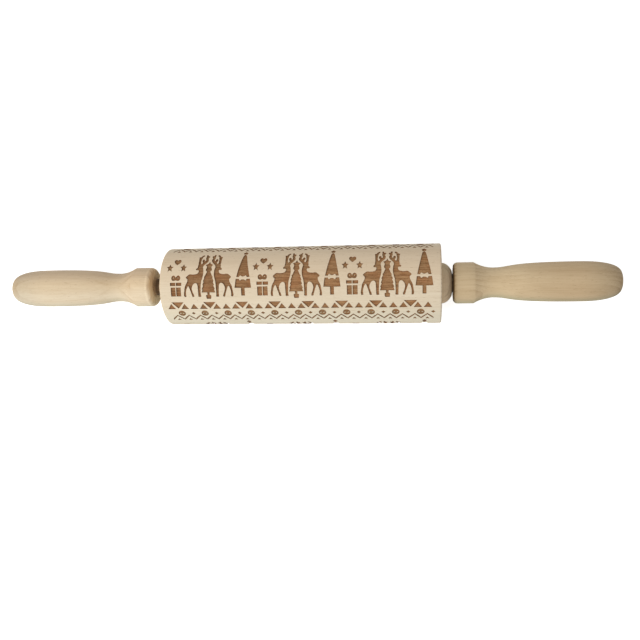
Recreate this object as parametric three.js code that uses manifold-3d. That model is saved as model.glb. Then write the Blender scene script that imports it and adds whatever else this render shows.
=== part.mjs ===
// Wooden rolling pin with an engraved barrel, lying on a table.
//
// The barrel and the two end bosses turn and drift endways on an axle rod.
// The rod is glued into a blind socket in each handle.
// Units are millimetres. +X runs along the pin, +Z is up, and the table is at z = 0.
// The origin is on the table, midway between the two handles' tips.

import * as THREE from 'three';
import { mergeVertices } from 'three/addons/utils/BufferGeometryUtils.js';
import Module from 'manifold-3d';

const wasm = await Module();
wasm.setup();

// Barrel: a turned beech roller, bored through, with a counterbore at each end for a boss.
const barrelDiameter = 45;
const barrelLength = 158;
const barrelEdgeChamfer = 0.8;
const barrelBoreClearance = 1;

// End bosses: domed bushes whose spigots sit in the barrel's counterbores.
const bossDiameter = 23;
const bossStandout = 6.2;
const bossDomeLength = 7.2;
const bossSeatGap = 0.3;
const bossRunningGap = 0.3;
const spigotDiameter = 18;
const spigotLength = 14;
const spigotGap = 0.3;
const spigotEndGap = 0.5;
const spigotChamfer = 0.8;

// Axle rod: a plain dowel from handle to handle.
const axleDiameter = 10;
const axleChamfer = 0.8;

// Handles: both turned to one pattern, with a collar, a neck and a swelling grip.
const handleLength = 90.4;
const collarDiameter = 23.2;
const collarLength = 11.2;
const collarRounding = 2;
const neckDiameter = 16.8;
const neckPlace = 22;
const gripDiameter = 22.2;
const gripPlace = 65;
const socketDepth = 40;
const socketGlueGap = 0.3;
const socketEndGap = 1;

// Endways play of the roller between the handles, and the gap left at the right handle at rest.
const endPlay = 5;
const rightGapAtRest = 0.6;

// Engraving: three rows of figures round the barrel, each with its own bands below it.
const engravingDepth = 0.7;
const cutOverrun = 1;
const leftMargin = 3.6;
const rightMargin = 4.4;
const rowsRound = 3;
const groupsAlong = 3;
const footAngleDegrees = 61.4;

// Figures: sizes are measured on the barrel's surface, and levels from the figures' feet.
const deerLength = 13.1;
const deerHeight = 26.4;
const deerSpacing = 2;
const firHalfWidth = 3.95;
const firHeight = 21.8;
const firLevel = -1.2;
const spruceHalfWidth = 4.75;
const spruceHeight = 29;
const spruceLevel = 0.3;
const giftBoxWidth = 5.6;
const giftBoxHeight = 5;
const giftBoxLevel = 0.5;
const giftLidWidth = 6.4;
const giftLidHeight = 1.8;
const giftRibbonHeight = 0.9;
const giftBowWidth = 5.3;
const giftBowHeight = 3.2;
const giftBowGap = 1;
const heartWidth = 4;
const heartHeight = 3.9;
const heartLevel = 18.85;
const starRadius = 2.45;
const starSpacing = 8;
const starLevel = 16.75;

// Bands: levels are measured down from the figures' feet.
const triangleTopDepth = 3.15;
const invertedWidth = 7.2;
const invertedHeight = 4.1;
const uprightWidth = 4.2;
const uprightHeight = 3.2;
const uprightDrop = 1.2;
const flankSpacing = 7.8;
const discDepth = 10.85;
const discDiameter = 4.2;

// Counts along the barrel, and the numbers of flats, corners and tips.
const triangleCount = 8;
const discCount = 11;
const turnedSides = 24;
const discCorners = 6;
const starTips = 5;

// Places along one group, as shares of the group's length.
const giftPlaceShare = 0.124;
const deerPlaceShare = 0.504;
const sprucePlaceShare = 0.902;
const trianglePlaceShare = 0.34;
const discPlaceShare = 0.52;

// Sizes that follow from those above.
const barrelRadius = barrelDiameter / 2;
const axleRadius = axleDiameter / 2;
const handleSpan = barrelLength + 2 * bossStandout + endPlay;
const rollerPlace = endPlay / 2 - rightGapAtRest;
const counterboreDepth = spigotLength + spigotEndGap;
const patternStart = leftMargin - barrelLength / 2;
const patternLength = barrelLength - leftMargin - rightMargin;
const sideAngle = (2 * Math.PI) / turnedSides;
const flatWidth = sideAngle * barrelRadius;
const rowPitch = (2 * Math.PI * barrelRadius) / rowsRound;
const footAngle = THREE.MathUtils.degToRad(footAngleDegrees);
const firstEdge = -Math.PI / 2 + sideAngle / 2;
const shareTolerance = 1e-5;

// Beech, as it shows on each piece.
const paleBeech = { color: 0xdecbb0, roughness: 0.62 };
const tanBeech = { color: 0xcfb290, roughness: 0.55 };
const darkBeech = { color: 0xb5946e, roughness: 0.6 };

function wood({ color, roughness }) {
  return new THREE.MeshStandardMaterial({ color, roughness, metalness: 0, flatShading: true });
}

function namedMesh(name, geometry, look) {
  const mesh = new THREE.Mesh(geometry, wood(look));
  mesh.name = name;
  return mesh;
}

// Turns a profile of [along, radius] points round the X axis. Flat 0 faces straight down.
function turn(profile) {
  const points = profile.map(([along, radius]) => new THREE.Vector2(radius, along));
  const geometry = new THREE.LatheGeometry(points, turnedSides, sideAngle / 2);
  geometry.rotateZ(-Math.PI / 2);
  return geometry;
}

// Merges a geometry's shared corners and makes it a solid that can be cut and joined.
function toSolid(geometry) {
  const bare = geometry.clone();
  bare.deleteAttribute('normal');
  bare.deleteAttribute('uv');
  const merged = mergeVertices(bare);
  const corners = Array.from(merged.index.array);
  const triVerts = [];
  for (let i = 0; i < corners.length; i += 3) {
    const [a, b, c] = corners.slice(i, i + 3);
    if (a !== b && b !== c && c !== a) triVerts.push(a, b, c);
  }
  return new wasm.Manifold(new wasm.Mesh({
    numProp: 3,
    vertProperties: Float32Array.from(merged.attributes.position.array),
    triVerts: Uint32Array.from(triVerts),
  }));
}

function toGeometry(solid) {
  const { vertProperties, triVerts } = solid.getMesh();
  const geometry = new THREE.BufferGeometry();
  geometry.setAttribute('position', new THREE.BufferAttribute(Float32Array.from(vertProperties), 3));
  geometry.setIndex(Array.from(triVerts));
  geometry.computeVertexNormals();
  return geometry;
}

// Outlines of the engraved figures, as shares of each figure's own length and height.
// The deer stands with its front legs on the left and looks back over its right side.
const deerShares = [
  [0.24, 0.00], [0.37, 0.00], [0.40, 0.28], [0.55, 0.28], [0.66, 0.19], [0.56, 0.00],
  [0.65, 0.00], [0.77, 0.19], [0.82, 0.23], [0.88, 0.17], [0.92, 0.00], [1.00, 0.00],
  [0.96, 0.22], [0.84, 0.32], [0.84, 0.38], [0.91, 0.41], [0.79, 0.48], [0.41, 0.48],
  [0.33, 0.54], [0.35, 0.58], [0.48, 0.59], [0.43, 0.66], [0.43, 0.92], [0.27, 0.98],
  [0.36, 0.86], [0.34, 0.72], [0.31, 0.68], [0.20, 0.76], [0.27, 0.81], [0.16, 0.80],
  [0.11, 0.85], [0.12, 1.00], [0.00, 0.93], [0.03, 0.80], [0.22, 0.66], [0.15, 0.50],
  [0.24, 0.31],
];

// Right halves of the fir between the deer and of the two parts of the spruce, from the top down.
const firHalfShares = [
  [0.00, 1.00], [0.16, 0.93], [0.59, 0.92], [0.33, 0.84], [0.48, 0.70], [1.00, 0.20],
  [0.20, 0.20], [0.20, 0.14], [0.40, 0.14], [0.37, 0.00],
];
const spruceTopHalfShares = [[0.00, 1.00], [0.23, 0.92], [0.09, 0.85], [0.80, 0.39], [0.34, 0.41]];
const spruceBaseHalfShares = [[0.00, 0.32], [0.86, 0.34], [1.00, 0.17], [0.21, 0.17], [0.21, 0.00]];

// Right half of the gift's bow, as shares of half the bow's width and of its height.
const bowHalfShares = [[0.70, 0.00], [1.00, 0.40], [0.60, 1.00], [0.00, 0.60]];

// A heart's right half, as shares of half its width and of its height.
const heartHalfShares = [[0.00, 0.84], [0.45, 1.00], [0.95, 0.85], [0.95, 0.52], [0.00, 0.00]];

const starInnerShare = 0.42;

function polygon(points) {
  return new THREE.Shape(points.map(([along, up]) => new THREE.Vector2(along, up)));
}

// Places an outline of shares at a spot on the flat sheet. Side -1 mirrors it.
function figure(shares, width, height, along, up, side = 1) {
  return polygon(shares.map(([x, y]) => [along + side * x * width, up + y * height]));
}

// Mirrors a half outline about its own upright axis and closes it.
function symmetric(halfShares) {
  const onAxis = ([x]) => x === 0;
  const left = halfShares.filter((point) => !onAxis(point)).map(([x, y]) => [-x, y]).reverse();
  return [...halfShares, ...left];
}

function rectangle(left, low, width, height) {
  return polygon([[left, low], [left + width, low], [left + width, low + height], [left, low + height]]);
}

function star(along, up) {
  const points = [];
  for (let corner = 0; corner < 2 * starTips; corner += 1) {
    const radius = corner % 2 === 0 ? starRadius : starRadius * starInnerShare;
    const angle = Math.PI / 2 + (corner * Math.PI) / starTips;
    points.push([along + radius * Math.cos(angle), up + radius * Math.sin(angle)]);
  }
  return polygon(points);
}

function disc(along, up) {
  const points = [];
  for (let corner = 0; corner < discCorners; corner += 1) {
    const angle = ((corner + 0.5) * 2 * Math.PI) / discCorners;
    points.push([along + (discDiameter / 2) * Math.cos(angle), up + (discDiameter / 2) * Math.sin(angle)]);
  }
  return polygon(points);
}

function gift(along, level) {
  const boxLevel = level + giftBoxLevel;
  const lidLevel = boxLevel + giftBoxHeight + giftRibbonHeight;
  const bowLevel = lidLevel + giftLidHeight + giftBowGap;
  return [
    rectangle(along - giftBoxWidth / 2, boxLevel, giftBoxWidth, giftBoxHeight),
    rectangle(along - giftLidWidth / 2, lidLevel, giftLidWidth, giftLidHeight),
    figure(symmetric(bowHalfShares), giftBowWidth / 2, giftBowHeight, along, bowLevel),
  ];
}

// One group of figures: a gift under a heart and two stars, a fir between two deer, and a spruce.
function figureGroup(start, length, level) {
  const giftPlace = start + giftPlaceShare * length;
  const deerPlace = start + deerPlaceShare * length;
  const sprucePlace = start + sprucePlaceShare * length;
  const shapes = gift(giftPlace, level);
  shapes.push(figure(symmetric(heartHalfShares), heartWidth / 2, heartHeight, giftPlace, level + heartLevel));
  for (const side of [-1, 1]) {
    shapes.push(star(giftPlace + (side * starSpacing) / 2, level + starLevel));
    const inner = deerPlace + (side * deerSpacing) / 2;
    shapes.push(figure(deerShares, deerLength, deerHeight, inner, level, side));
  }
  shapes.push(figure(symmetric(firHalfShares), firHalfWidth, firHeight, deerPlace, level + firLevel));
  for (const half of [spruceTopHalfShares, spruceBaseHalfShares]) {
    shapes.push(figure(symmetric(half), spruceHalfWidth, spruceHeight, sprucePlace, level + spruceLevel));
  }
  return shapes;
}

function triangleBand(start, length, level) {
  const pitch = length / triangleCount;
  const top = level - triangleTopDepth;
  const foot = top - uprightDrop - uprightHeight;
  const shapes = [];
  const upright = (place) => polygon([
    [place - uprightWidth / 2, foot],
    [place + uprightWidth / 2, foot],
    [place, foot + uprightHeight],
  ]);
  for (let i = 0; i < triangleCount; i += 1) {
    const place = start + (i + trianglePlaceShare) * pitch;
    shapes.push(polygon([
      [place - invertedWidth / 2, top],
      [place, top - invertedHeight],
      [place + invertedWidth / 2, top],
    ]));
    for (const offset of [-flankSpacing / 2, flankSpacing / 2, pitch / 2]) {
      shapes.push(upright(place + offset));
    }
  }
  return shapes;
}

function discBand(start, length, level) {
  const pitch = length / discCount;
  const shapes = [];
  for (let i = 0; i < discCount; i += 1) {
    const place = start + (i + discPlaceShare) * pitch;
    shapes.push(disc(place, level - discDepth));
  }
  return shapes;
}

// The barrel is laid out flat, like a sheet that is later rolled up. On it x runs along the barrel,
// y runs round it from the edge beside the bottom flat, and z is the height above the surface.
function rowLevel(row) {
  return (footAngle - firstEdge) * barrelRadius + row * rowPitch;
}

// Everything that is engraved. The rows before the first and after the last only fill the seam.
function engraving() {
  const groupLength = patternLength / groupsAlong;
  const shapes = [];
  for (let row = -1; row <= rowsRound; row += 1) {
    const level = rowLevel(row);
    shapes.push(...triangleBand(patternStart, patternLength, level));
    shapes.push(...discBand(patternStart, patternLength, level));
    for (let i = 0; i < groupsAlong; i += 1) {
      shapes.push(...figureGroup(patternStart + i * groupLength, groupLength, level));
    }
  }
  const depth = engravingDepth + cutOverrun;
  const cutters = shapes.map((shape) => {
    const cutter = new THREE.ExtrudeGeometry(shape, { depth, bevelEnabled: false });
    return toSolid(cutter.translate(0, 0, -engravingDepth));
  });
  return wasm.Manifold.union(cutters);
}

// The sheet starts where two flats meet, in the plain strip between the discs and the spruce tips.
function firstSheetFlat() {
  const discFoot = -discDepth - discDiameter / 2;
  const spruceTip = spruceLevel + spruceHeight - rowPitch;
  return Math.round((rowLevel(0) + (discFoot + spruceTip) / 2) / flatWidth);
}

function flatSheet() {
  const thickness = barrelRadius - axleRadius;
  const width = turnedSides * flatWidth;
  const sheet = new THREE.BoxGeometry(barrelLength + 2 * cutOverrun, width, thickness);
  sheet.translate(0, firstSheetFlat() * flatWidth + width / 2, -thickness / 2);
  return toSolid(sheet).subtract(engraving());
}

// The faces of one strip of the sheet, without the two where it was cut from its neighbours.
// Each corner's place across the strip is a share of the strip's width.
function stripFaces(strip, flat) {
  const { vertProperties, triVerts } = strip.getMesh();
  const corners = [];
  for (let i = 0; i < vertProperties.length; i += 3) {
    const [x, y, z] = vertProperties.slice(i, i + 3);
    const share = y / flatWidth - flat;
    const nearest = Math.round(share);
    corners.push({ x, z, flat, share: Math.abs(share - nearest) < shareTolerance ? nearest : share });
  }
  const faces = [];
  for (let i = 0; i < triVerts.length; i += 3) {
    const face = Array.from(triVerts.slice(i, i + 3), (corner) => corners[corner]);
    if (face.every(({ share }) => share === 0) || face.every(({ share }) => share === 1)) continue;
    faces.push(face);
  }
  return faces;
}

// Names the line that a corner lies on where two flats meet, or gives nothing inside a flat.
function lineOf({ flat, share, z }) {
  return Number.isInteger(share) ? `${(flat + share) % turnedSides} at ${z}` : undefined;
}

// Splits a face where corners of the neighbouring strip lie on its edge, so that both strips meet.
function splitAtNeighbours(face, lines) {
  for (let i = 0; i < face.length; i += 1) {
    const [from, to, apex] = [face[i], face[(i + 1) % 3], face[(i + 2) % 3]];
    const line = lineOf(from);
    if (line === undefined || line !== lineOf(to)) continue;
    const [low, high] = [Math.min(from.x, to.x), Math.max(from.x, to.x)];
    const between = [...lines.get(line)].filter((x) => x > low && x < high);
    between.sort((a, b) => (a - b) * Math.sign(to.x - from.x));
    const stops = [from, ...between.map((x) => ({ ...from, x })), to];
    return stops.slice(1).map((stop, count) => [stops[count], stop, apex]);
  }
  return [face];
}

// Direction of the line between two flats of the rolled-up barrel.
function edgeDirection(count) {
  const angle = firstEdge + (count % turnedSides) * sideAngle;
  return new THREE.Vector3(0, -Math.cos(angle), Math.sin(angle));
}

function bend({ x, z, flat, share }) {
  const place = edgeDirection(flat).multiplyScalar(1 - share);
  place.addScaledVector(edgeDirection(flat + 1), share);
  place.multiplyScalar((barrelRadius + z) / Math.cos(sideAngle / 2));
  return place.setX(x).toArray();
}

// Rolls the sheet up: it is split where the flats meet, and each strip is bent to its own flat.
function rollUp(sheet) {
  const firstFlat = firstSheetFlat();
  const lastFlat = firstFlat + turnedSides - 1;
  const faces = [];
  let rest = sheet;
  for (let flat = firstFlat; flat < lastFlat; flat += 1) {
    const [beyond, strip] = rest.splitByPlane([0, 1, 0], (flat + 1) * flatWidth);
    faces.push(...stripFaces(strip, flat));
    rest = beyond;
  }
  faces.push(...stripFaces(rest, lastFlat));
  const lines = new Map();
  for (const corner of faces.flat()) {
    const line = lineOf(corner);
    if (!lines.has(line)) lines.set(line, new Set());
    lines.get(line).add(corner.x);
  }
  const places = faces.flatMap((face) => splitAtNeighbours(face, lines)).flat().flatMap(bend);
  const rolled = new THREE.BufferGeometry();
  rolled.setAttribute('position', new THREE.BufferAttribute(Float32Array.from(places), 3));
  return toSolid(rolled);
}

// The envelope of the barrel: chamfered outside, with a counterbore at each end.
function barrelEnvelope() {
  const half = barrelLength / 2;
  const bore = axleRadius + barrelBoreClearance;
  const counterbore = spigotDiameter / 2 + spigotGap;
  const shoulder = half - counterboreDepth;
  const outer = barrelRadius + cutOverrun / 2;
  const chamfer = barrelEdgeChamfer + cutOverrun / 2;
  const envelope = turn([
    [-half, counterbore],
    [-half, outer - chamfer],
    [-half + chamfer, outer],
    [half - chamfer, outer],
    [half, outer - chamfer],
    [half, counterbore],
    [shoulder, counterbore],
    [shoulder, bore],
    [-shoulder, bore],
    [-shoulder, counterbore],
    [-half, counterbore],
  ]);
  const flatsOnRadius = 1 / Math.cos(sideAngle / 2);
  return toSolid(envelope.scale(1, flatsOnRadius, flatsOnRadius));
}

function makeBarrel() {
  const barrel = rollUp(flatSheet()).intersect(barrelEnvelope());
  return namedMesh('barrel', toGeometry(barrel), paleBeech);
}

// A boss's local X points away from the barrel, with x = 0 on the barrel's end face.
function makeBoss(name) {
  const bore = axleRadius + bossRunningGap;
  const spigot = spigotDiameter / 2;
  const headRadius = bossDiameter / 2;
  const domeStart = bossSeatGap;
  const tipReach = bossStandout - domeStart;
  const tipAngle = Math.asin(tipReach / bossDomeLength);
  const domeSteps = 6;
  const profile = [
    [-spigotLength, bore],
    [-spigotLength, spigot - spigotChamfer],
    [-spigotLength + spigotChamfer, spigot],
    [domeStart, spigot],
  ];
  for (let i = 0; i <= domeSteps; i += 1) {
    const angle = (tipAngle * i) / domeSteps;
    profile.push([domeStart + bossDomeLength * Math.sin(angle), headRadius * Math.cos(angle)]);
  }
  profile.push([bossStandout, bore]);
  profile.push([-spigotLength, bore]);
  return namedMesh(name, turn(profile), darkBeech);
}

function makeAxle() {
  const half = handleSpan / 2 + socketDepth - socketEndGap;
  const profile = [
    [-half, 0],
    [-half, axleRadius - axleChamfer],
    [-half + axleChamfer, axleRadius],
    [half - axleChamfer, axleRadius],
    [half, axleRadius - axleChamfer],
    [half, 0],
  ];
  return namedMesh('axle_rod', turn(profile), tanBeech);
}

// The grip's curve is pulled by these shares of its length. Its rounded end is a superellipse.
const neckPullShare = 0.23;
const gripPullShare = 0.86;
const gripEndAlongPower = 3;
const gripEndRadiusPower = 2.8;
const gripEndShares = [0.38, 0.58, 0.74, 0.86, 0.95, 0.99, 1];

// A handle's local X points away from the barrel, with x = 0 on its inner face.
function handleProfile() {
  const collar = collarDiameter / 2;
  const neck = neckDiameter / 2;
  const grip = gripDiameter / 2;
  const socket = axleRadius + socketGlueGap;
  const profile = [[socketDepth, 0], [socketDepth, socket], [0, socket]];
  const roundingSteps = 3;
  for (let i = 0; i <= roundingSteps; i += 1) {
    const angle = (i / roundingSteps) * (Math.PI / 2);
    profile.push([
      collarRounding * (1 - Math.cos(angle)),
      collar - collarRounding * (1 - Math.sin(angle)),
    ]);
  }
  const coveSteps = 5;
  for (let i = 0; i < coveSteps; i += 1) {
    const share = i / coveSteps;
    profile.push([
      collarLength + (neckPlace - collarLength) * share,
      neck + (collar - neck) * (1 - share) ** 2,
    ]);
  }
  const swell = new THREE.CubicBezierCurve(
    new THREE.Vector2(neckPlace, neck),
    new THREE.Vector2(neckPlace + neckPullShare * (gripPlace - neckPlace), neck),
    new THREE.Vector2(gripPlace - gripPullShare * (gripPlace - neckPlace), grip),
    new THREE.Vector2(gripPlace, grip),
  );
  const swellSteps = 7;
  swell.getPoints(swellSteps).forEach(({ x, y }) => profile.push([x, y]));
  const endLength = handleLength - gripPlace;
  for (const share of gripEndShares) {
    const radiusShare = (1 - share ** gripEndAlongPower) ** (1 / gripEndRadiusPower);
    profile.push([gripPlace + endLength * share, grip * radiusShare]);
  }
  return profile;
}

function makeHandle(name) {
  return namedMesh(name, turn(handleProfile()), tanBeech);
}

// Sets a piece built for the right-hand end on its end of the pin.
function atEnd(mesh, reach, side) {
  mesh.position.x = side * reach;
  mesh.rotation.z = side > 0 ? 0 : Math.PI;
  return mesh;
}

const roller = new THREE.Group();
roller.position.x = rollerPlace;
roller.add(makeBarrel());
roller.add(atEnd(makeBoss('end_boss_left'), barrelLength / 2, -1));
roller.add(atEnd(makeBoss('end_boss_right'), barrelLength / 2, 1));

const rollingPin = new THREE.Group();
rollingPin.position.z = barrelRadius;
rollingPin.add(roller);
rollingPin.add(makeAxle());
rollingPin.add(atEnd(makeHandle('handle_left'), handleSpan / 2, -1));
rollingPin.add(atEnd(makeHandle('handle_right'), handleSpan / 2, 1));
rollingPin.updateMatrixWorld(true);

export default rollingPin;
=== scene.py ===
# %% [markdown]
# # An embossing rolling pin
# The object is turned beech: a thick barrel with winter figures sunk into it, a domed boss in each
# end, a rod through everything, and two handles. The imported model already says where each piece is
# and how large, so this script only makes finer meshes and finishes in the same places.
# Lengths are millimetres, and one value turns them into Blender's metres. Only the stage round the
# pin, its table and its lamp, is written in metres.

import math

import bpy
from mathutils import Matrix, Vector
from mathutils.geometry import delaunay_2d_cdt


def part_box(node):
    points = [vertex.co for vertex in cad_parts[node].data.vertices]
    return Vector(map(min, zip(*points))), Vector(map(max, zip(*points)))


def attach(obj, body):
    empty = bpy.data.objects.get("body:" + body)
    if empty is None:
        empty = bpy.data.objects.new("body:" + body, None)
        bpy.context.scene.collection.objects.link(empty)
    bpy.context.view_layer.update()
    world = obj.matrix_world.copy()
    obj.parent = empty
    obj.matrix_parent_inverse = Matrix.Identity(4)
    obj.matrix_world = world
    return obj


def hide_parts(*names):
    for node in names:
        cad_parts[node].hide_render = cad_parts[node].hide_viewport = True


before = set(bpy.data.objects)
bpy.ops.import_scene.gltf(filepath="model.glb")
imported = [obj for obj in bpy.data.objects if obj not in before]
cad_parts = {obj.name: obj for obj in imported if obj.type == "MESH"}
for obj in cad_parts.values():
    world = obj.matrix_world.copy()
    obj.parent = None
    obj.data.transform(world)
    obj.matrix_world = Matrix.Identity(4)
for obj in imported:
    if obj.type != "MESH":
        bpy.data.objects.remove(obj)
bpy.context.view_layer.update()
MM = 0.001


def extent(node):
    """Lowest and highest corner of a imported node, in millimetres."""
    low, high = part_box(node)
    return Vector(low) / MM, Vector(high) / MM


barrel_low, barrel_high = extent("barrel")
axis_height = (barrel_low.z + barrel_high.z) / 2
barrel_radius = (barrel_high.z - barrel_low.z) / 2
barrel_length = barrel_high.x - barrel_low.x
print("barrel", round(2 * barrel_radius, 2), "mm across and", round(barrel_length, 2), "mm long")

# %% [markdown]
# ## Camera
# The pin in the picture runs a little downhill in depth: its right end is nearer to the lens, so it
# looks larger. Fitting a pinhole camera to the edges of the barrel gave a focal length, a distance
# and two small turns. They are set here as an orthonormal set of axes, because that is exact, while
# aiming a camera by hand with Euler angles would need trial and error.

# %% Place the camera
picture_width = 640
focal_pixels = 686.9
sensor_width = 36
yaw = math.radians(8.18)
roll = math.radians(0.36)
elevation = math.radians(76.5)
axis_above_centre = 20.42
axis_distance = 398.8
place_seen_at_middle = 11.82
nearest_seen = 10


def put_in_scene(name, data):
    """A new object with this data, standing unturned at the origin."""
    made = bpy.data.objects.new(name, data)
    bpy.context.scene.collection.objects.link(made)
    return made


# The pin's own axis and the way from it to the lens, as right, down and forward of the camera.
axis_seen = Vector((math.cos(yaw) * math.cos(roll), -math.cos(yaw) * math.sin(roll), -math.sin(yaw)))
to_lens = Vector((0, axis_above_centre, -axis_distance))
square_seen = (to_lens - to_lens.dot(axis_seen) * axis_seen).normalized()
seen = Matrix((axis_seen, square_seen, axis_seen.cross(square_seen)))

# The same three directions on the table.
axis_real = Vector((1, 0, 0))
square_real = Vector((0, -math.cos(elevation), math.sin(elevation)))
real = Matrix((axis_real, square_real, axis_real.cross(square_real)))

turn = real.transposed() @ seen
right, down, forward = turn.col
lens_place = Vector((place_seen_at_middle, 0, axis_height)) + turn @ to_lens

camera_data = bpy.data.cameras.new("camera")
camera_data.sensor_width = sensor_width
camera_data.lens = focal_pixels / picture_width * sensor_width
camera_data.clip_start = nearest_seen * MM
camera = put_in_scene("camera", camera_data)
camera_axes = Matrix((right, -down, -forward)).transposed().to_4x4()
camera.matrix_world = Matrix.Translation(lens_place * MM) @ camera_axes
bpy.context.scene.camera = camera
print("lens", round(camera_data.lens, 2), "mm, camera at", [round(v) for v in lens_place])

# %% [markdown]
# ## Trees written as sums
# Shader and geometry trees get long when every sum is a node made by hand. This small class wraps a
# socket, so that ordinary Python sums add the Math nodes, and one method adds any other node. The
# cell ends with a sum that starts with a plain number, to show that this order works as well.


# %% A socket that can be used in sums
class Wire:
    """One socket of a node tree."""

    def __init__(self, tree, socket=None):
        self.tree = tree
        self.socket = socket

    def node(self, kind, inputs=None, out=0, **settings):
        """Adds a node: its settings first, then the values or wires of its inputs."""
        made = self.tree.nodes.new(kind)
        for name, value in settings.items():
            setattr(made, name, value)
        for name, value in (inputs or {}).items():
            self.feed(named(made.inputs, name), value)
        return Wire(self.tree, named(made.outputs, out))

    def also(self, name):
        """Another output of the node that this wire comes from."""
        return Wire(self.tree, named(self.socket.node.outputs, name))

    def feed(self, socket, value):
        if isinstance(value, Wire):
            self.tree.links.new(value.socket, socket)
        else:
            socket.default_value = value

    def maths(self, operation, *values):
        return self.node("ShaderNodeMath", dict(enumerate(values)), operation=operation)

    def __add__(self, other):
        return self.maths("ADD", self, other)

    def __sub__(self, other):
        return self.maths("SUBTRACT", self, other)

    def __rsub__(self, other):
        return self.maths("SUBTRACT", other, self)

    def __mul__(self, other):
        return self.maths("MULTIPLY", self, other)

    def __truediv__(self, other):
        return self.maths("DIVIDE", self, other)

    __radd__ = __add__
    __rmul__ = __mul__


def named(sockets, name):
    """A socket by its number, its identifier or its name."""
    if isinstance(name, int):
        return sockets[name]
    return next(s for s in sockets if name in (s.identifier, s.name))


trial = Wire(bpy.data.node_groups.new("trial", "ShaderNodeTree"))
answer = 1 - trial.maths("MULTIPLY", 0.5, 0.5)
print("1 - 0.5 * 0.5 ends in a node that does", answer.socket.node.operation)
bpy.data.node_groups.remove(trial.tree)

# %% [markdown]
# ## Beech
# Beech is a pale, even wood. What tells it apart is its grain: growth rings that cut the surface in
# soft lines, broad bands along the board, hair-fine fibres, and many short dark flecks. They could be
# painted on a picture, but as rings and noise in the solid, stretched along the pin, they need no
# picture, and a cut across the grain shows them end-on, as on a real turned piece.


# %% Colours
def tint(red, green, blue):
    """A colour written as a screen shows it, as the linear values that shaders use."""
    def linear(value):
        # The curve of the sRGB standard, straight for the darkest tones and a power for the rest.
        share = value / 255
        return share / 12.92 if share <= 0.04045 else ((share + 0.055) / 1.055) ** 2.4

    return (linear(red), linear(green), linear(blue), 1.0)


def blend_colours(factor, first, second, how="MIX"):
    inputs = {"Factor_Float": factor, "A_Color": first, "B_Color": second}
    return factor.node("ShaderNodeMix", inputs, "Result_Color", data_type="RGBA", blend_type=how)


print("middle grey is", round(tint(128, 128, 128)[0], 3), "of the light")

# %% [markdown]
# ### Marks in the wood
# Every mark of the grain is read from a place. Object coordinates stay with a piece when it moves,
# and a Mapping node squeezes them across the pin, so that round noise becomes long streaks. A smooth
# step then cuts the noise into marks with soft edges. A plain threshold would leave them hard, and
# a colour ramp would do the same with two stops to set for each mark.

# %% Places, noise and soft steps
band_size = (90, 5.5)
fibre_size = (14, 0.45)
fleck_size = (2.6, 0.32)
hoop_size = (0.8, 60)


def object_place(start):
    return start.node("ShaderNodeTexCoord", out="Object")


def stretched_noise(start, size, detail, seed):
    """Noise whose marks have this length along the pin and this width, in millimetres."""
    along, across = size
    scale = (1 / (along * MM), 1 / (across * MM), 1 / (across * MM))
    inputs = {"Vector": object_place(start), "Location": (seed, seed * 2, seed * 3), "Scale": scale}
    place = start.node("ShaderNodeMapping", inputs)
    return start.node("ShaderNodeTexNoise", {"Vector": place, "Scale": 1.0, "Detail": detail})


def step_up(value, low, high):
    """A smooth step from 0 at `low` to 1 at `high`."""
    inputs = {"Value": value, "From Min": low, "From Max": high}
    return value.node("ShaderNodeMapRange", inputs, interpolation_type="SMOOTHSTEP")


print("a fibre is", round(fibre_size[0] / fibre_size[1]), "times as long as it is wide")

# %% [markdown]
# ### Growth rings
# A billet for turning is split from the side of a trunk, so the heart of the tree lies outside it.
# The distance from that heart, counted in rings, gives arcs on the cut ends and long lines on the
# sides. Each ring darkens slowly and stops at once, which is how late wood meets the next spring. A
# Wave texture draws rings too, but these sums also say how late in a ring the dark wood starts.

# %% Rings about the heart of the tree
heart_distance = 42
ring_width = 2.7
ring_wander = 2.2
wander_size = (150, 16)
late_wood_power = 2.5


def growth_rings(start, seed):
    """From 0 in a ring's early wood to 1 at its dark edge."""
    y = start.node("ShaderNodeSeparateXYZ", {"Vector": object_place(start)}, out="Y")
    across = y / MM - heart_distance * math.cos(seed)
    up = y.also("Z") / MM - (axis_height + heart_distance * math.sin(seed))
    distance = start.maths("SQRT", across * across + up * up)
    wander = stretched_noise(start, wander_size, detail=2.0, seed=seed + 4) * ring_wander
    ring = start.maths("FRACT", distance / ring_width + wander)
    return start.maths("POWER", ring, late_wood_power)


print("the barrel shows about", round(2 * barrel_radius / ring_width), "rings on its end")

# %% [markdown]
# ### One recipe for every piece
# Where a tool cuts across the fibres, their open ends drink in oil and look darker and duller. Each
# mesh carries an attribute, `end_grain`, that says how far its surface faces along the pin, and the
# recipe darkens the wood by it. The chisel also leaves faint hoops round a turned piece. One recipe
# with a few dials is kept for all the wood, because separate materials would drift apart.

# %% Beech material
band_edges, fibre_edges, fleck_edges, end_edges = (0.3, 0.72), (0.3, 0.75), (0.66, 0.76), (0.05, 0.6)
band_strength, ring_strength, fleck_strength = 0.5, 0.22, 0.55
rings_on_ends, oil_on_ends = 0.4, 0.12
rougher_fibre, smoother_fleck, rougher_end = 0.12, 0.1, 0.12
fibre_relief, fleck_relief, hoop_relief = 0.7, 0.6, 4
grain_depth, grain_strength = 0.05, 0.25
sanded_shine = 0.35


def new_material(name):
    material = bpy.data.materials.new(name)
    material.use_nodes = True
    shader = material.node_tree.nodes["Principled BSDF"]
    return material, shader, Wire(material.node_tree)


def raise_grain(shader, height, strength, depth):
    """Lets the light catch a height, which is given in shares of `depth` millimetres."""
    relief = {"Height": height, "Strength": strength, "Distance": depth * MM}
    height.feed(shader.inputs["Normal"], height.node("ShaderNodeBump", relief))


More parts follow.
